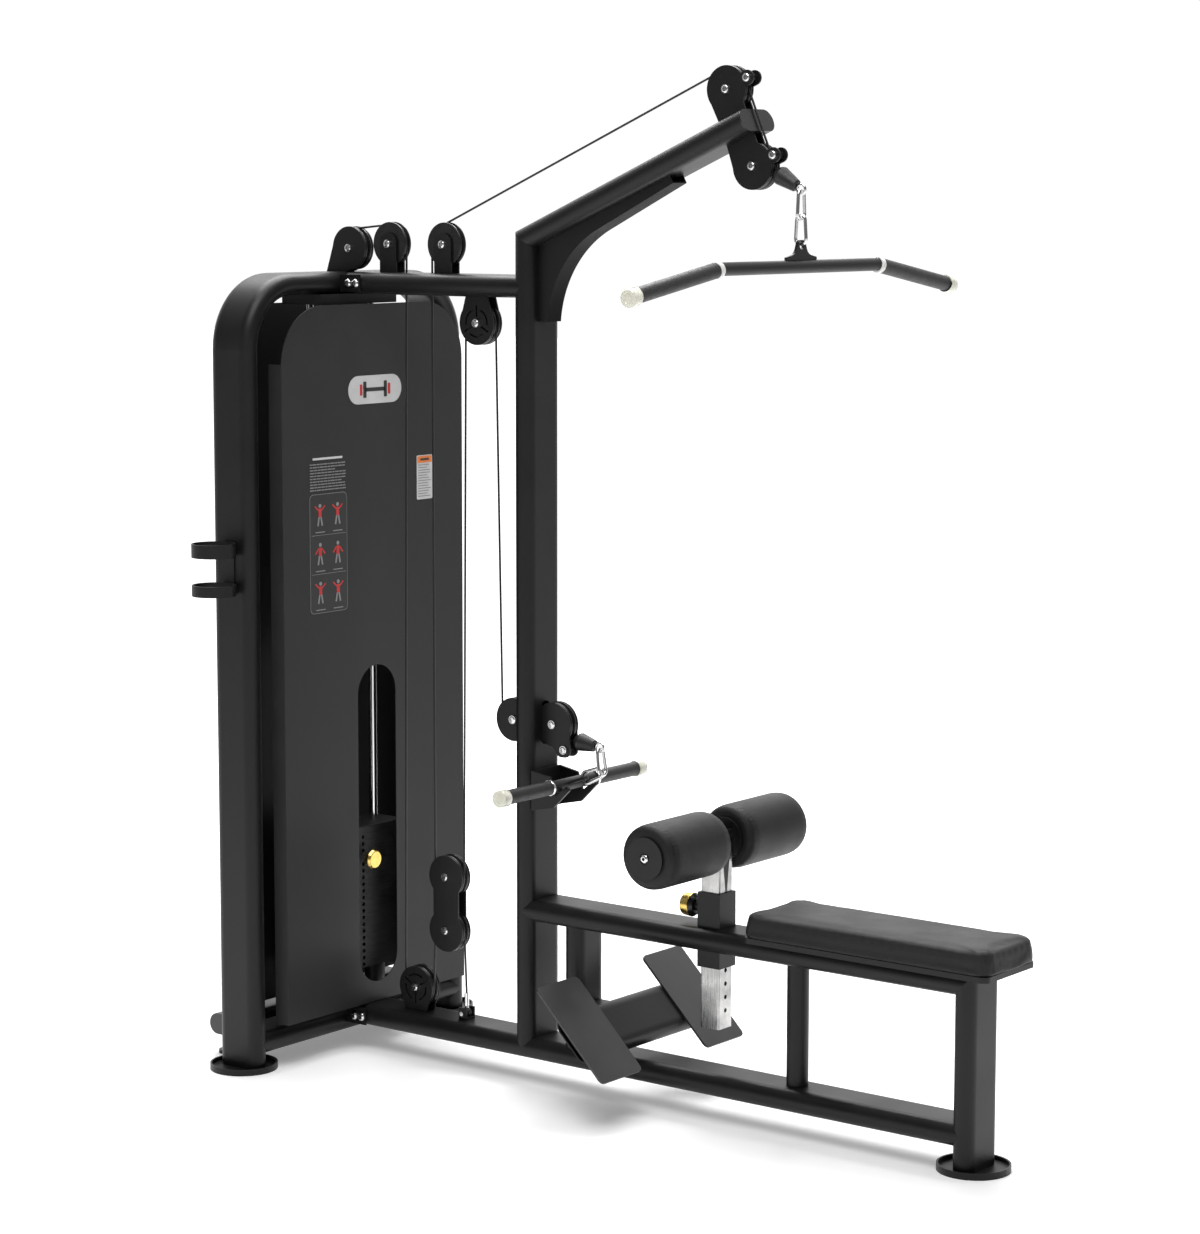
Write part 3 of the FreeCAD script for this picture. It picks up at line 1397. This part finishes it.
def make_row_holder():
    """Two hooked plates on the mast. Their notch rises at the angle in which the bar leaves."""
    x, z = s.row_bar_reach, s.row_bar_rise
    rise = s.row_pull_rise
    seat = s.bar_wide / 2 + REST
    face = half_thick
    cos_r, sin_r = cos_of(rise), sin_of(rise)
    body = new_body("row_holder", mast_x, 0, 0)
    steep = 70
    steep_cos, steep_sin = math.cos(math.radians(steep)), math.sin(math.radians(steep))
    half_open = (180 - steep - rise.value) / 2
    depth = seat / math.sin(math.radians(half_open))
    lean = math.radians(rise.value + half_open - 90)
    low_x = x + depth * math.sin(lean)
    low_z = z - depth * math.cos(lean)
    front, back = s.hook_front, s.hook_back
    for side in (-1, 1):
        hook = new_sketch(body, "XZ", s.holder_span / 2 * side - s.holder_plate / 2)
        outline(hook, [
            (face, low_z - s.hook_foot),
            (low_x - 4, low_z - s.hook_under, 6),
            (low_x + front * cos_r + 10, low_z + front * sin_r - 8, 4),
            (low_x + front * cos_r, low_z + front * sin_r),
            (low_x, low_z),
            (low_x - back * steep_cos, low_z + back * steep_sin, 3),
            (face, low_z + back * steep_sin + 10),
        ])
        pad(body, hook, s.holder_plate)
    base = new_sketch(body, "YZ", face)
    tall = back * steep_sin + s.hook_foot + 10
    oblong(base, s.holder_span, tall, 0, low_z - s.hook_foot + tall / 2)
    pad(body, base, s.side_plate)


def make_bottle_holder():
    """Two hoops on a strip that is fixed to the tower's leg."""
    leg_side = leg_y + half_thick
    strip_thick = s.ring_wall
    middle = -(leg_side + strip_thick + s.ring_wide / 2 - 1)
    body = new_body("bottle_holder", tower_x, middle, 0)
    for low, tall in ((s.ring_lower, s.ring_lower_tall), (s.ring_upper, s.ring_upper_tall)):
        hoop = new_sketch(body, "XY", low)
        circle(hoop, s.ring_wide / 2)
        circle(hoop, s.ring_wide / 2 - s.ring_wall)
        pad(body, hoop, tall)
    strip = new_sketch(body, "XY", s.ring_lower)
    oblong(strip, s.strap_wide * 0.6, strip_thick, 0, s.ring_wide / 2 - 1 + strip_thick / 2)
    pad(body, strip, s.ring_upper + s.ring_upper_tall - s.ring_lower)


# ---- thigh pads and seat ------------------------------------------------------------------------
def make_thigh_pads():
    wall = s.tube_wall
    post = new_body("pad_upright", pad_x, 0, s.post_low)
    tall = s.pad_rise + s.axle_wide - s.post_low
    section = new_sketch(post, "XY")
    oblong(section, s.post_wide, s.post_wide, 0, 0, s.post_corner)
    inner = s.post_wide - wall * 2
    oblong(section, inner, inner, 0, 0, s.post_corner / 2)
    pad(post, section, tall)
    bore = new_sketch(post, "XZ")
    circle(bore, s.axle_wide / 2, 0, s.pad_rise - s.post_low)
    cut(post, bore, BIG, symmetric=True)
    holes = new_sketch(post, "YZ")
    circle(holes, s.bolt_wide / 2, 0, s.bolt_wide * 4)
    hole = cut(post, holes, s.post_wide, reverse=True)
    repeat(post, [hole], "Z", s.post_pitch, s.post_holes)
    slot = new_sketch(post, "YZ")
    top = s.sleeve_top - s.post_low + s.bolt_wide * 2
    oval(slot, s.bolt_wide * 3, s.bolt_wide, 0, top, upright=True)
    cut(post, slot, s.post_wide)
    reach = s.roller_gap / 2 + s.roller_long
    z = s.pad_rise
    stub = reach + s.axle_stub
    rod("pad_axle", (pad_x, -stub, z), (pad_x, stub, z), s.axle_wide)
    for side, word in ((-1, "left"), (1, "right")):
        outer = (reach + s.disc_gap) * side
        face = outer + s.disc_thick * side
        rod("disc_" + word, (pad_x, outer, z), (pad_x, face, z), s.disc_wide, s.axle_wide)
        inner_face = (s.roller_gap / 2 - s.disc_gap) * side
        rod("collar_" + word, (pad_x, s.post_wide / 2 * side, z), (pad_x, inner_face, z),
            s.disc_wide, s.axle_wide)
        roller = new_body("foam_roller_" + word, pad_x, 0, z)
        half = new_sketch(roller, "XY")
        near, far = s.roller_gap / 2, reach
        if side < 0:
            near, far = -reach, -s.roller_gap / 2
        bore_radius = s.axle_wide / 2 + s.rub_gap
        outline(half, [
            (bore_radius, near), (s.roller_wide / 2, near, s.roller_corner),
            (s.roller_wide / 2, far, s.roller_corner), (bore_radius, far),
        ])
        turn_about(roller, half)
    group("pad_post", ["pad_upright", "pad_axle", "disc_left", "disc_right",
                       "collar_left", "collar_right"])
    make_sleeve()


def make_sleeve():
    sleeve = new_body("sleeve_tube", pad_x, 0, s.sleeve_low)
    tall = s.sleeve_top - s.sleeve_low
    section = new_sketch(sleeve, "XY")
    oblong(section, sleeve_wide, sleeve_wide)
    inner = s.post_wide + s.rub_gap * 2
    oblong(section, inner, inner, 0, 0, s.post_corner)
    pad(sleeve, section, tall)
    bore = new_sketch(sleeve, "YZ")
    circle(bore, s.bolt_wide / 2 + s.run_gap, 0, s.knob_rise - s.sleeve_low)
    cut(sleeve, bore, sleeve_wide)
    side = pad_x - sleeve_wide / 2
    rod("pin_barrel", (side - s.barrel_long, 0, s.knob_rise), (side, 0, s.knob_rise),
        s.barrel_wide, s.bolt_wide + s.run_gap * 2)
    group("pad_sleeve", ["sleeve_tube", "pin_barrel"])
    pin = new_body("pop_pin", side, 0, s.knob_rise)
    half = new_sketch(pin, "XY")
    tip = (sleeve_wide - s.post_wide) / 2 - REST
    wide = s.knob_wide / 2
    start = -s.barrel_long - REST
    outline(half, [
        (tip, 0), (tip, s.bolt_wide / 2), (start, s.bolt_wide / 2), (start, wide * 0.7, 3),
        (-s.knob_neck, wide, 5), (-s.knob_back, wide * 0.9, 6), (-s.knob_back, 0),
    ])
    turn_about(pin, half, "H_Axis")


def make_seat():
    middle = leg_x - s.seat_before_leg + s.seat_long / 2
    board = new_body("seat_board", middle, 0, seat_beam_top)
    face = new_sketch(board, "XY")
    edge = s.seat_corner / 2
    oblong(face, s.seat_long - edge, s.seat_wide - edge, 0, 0, edge)
    pad(board, face, s.board_thick)
    cushion = new_body("seat_pad", middle, 0, seat_beam_top + s.board_thick)
    top = new_sketch(cushion, "XY")
    oblong(top, s.seat_long, s.seat_wide, 0, 0, s.seat_corner)
    pad(cushion, top, s.seat_thick)


def make_groups():
    group("tower_base", ["cross_tubes", "rear_caps"])
    group("support_posts", ["mid_post", "foot_rest_post"])
    group("foot_rest_frame", ["foot_rest_tube", "foot_rest_arm"])
    group("foot_plates", ["foot_plate_left", "foot_plate_right"])
    group("feet", ["foot_front", "foot_left", "foot_right", "rear_feet"])
    group("tower_joints", ["joint_brackets", "joint_bolts", "rod_plate"])
    group("rods_and_bumpers", ["guide_rods", "stack_bumpers"])
    group("head_plate", ["top_plate", "selector_stem"])
    group("pulley_brackets", ["top_brackets", "hanging_bracket", "bottom_bracket",
                              "row_brackets"])
    group("floating_block", ["block_plates", "block_bolts"])
    group("pulley_hardware", ["pulley_bolts", "cable_retainers"])


def check_and_write():
    doc.recompute()
    faults = [item.Label for item in doc.Objects if set(item.State) & {"Invalid", "Error"}]
    if faults:
        raise RuntimeError("these objects did not build: " + ", ".join(faults))
    for label, item in pieces.items():
        if item.Shape.isNull() or not item.Shape.isValid():
            raise RuntimeError(label + " has no valid shape")
    os.makedirs("parts", exist_ok=True)
    for label, item in pieces.items():
        item.Shape.exportStep("parts/%s.step" % label)
        box = item.Shape.BoundBox
        print("%-20s solids %2d  x %7.1f %7.1f  y %7.1f %7.1f  z %7.1f %7.1f" % (
            label, len(item.Shape.Solids), box.XMin, box.XMax, box.YMin, box.YMax,
            box.ZMin, box.ZMax))
    print(len(pieces), "pieces")


make_tower_arch()
make_tower_base()
make_base_beam()
make_top_beam()
make_seat_beam()
make_front_leg()
make_mast()
make_boom()
make_boom_gusset()
make_posts()
make_foot_rest()
make_feet()
make_joint_brackets()
make_shroud("front_shroud", 1)
make_shroud("rear_shroud", -1)
make_guide_rods()
make_weights()
make_selector_pin()
make_pulleys()
make_cables()
make_cable_anchor()
make_lat_bar()
make_row_bar()
make_row_holder()
make_bottle_holder()
make_thigh_pads()
make_seat()
make_groups()
check_and_write()
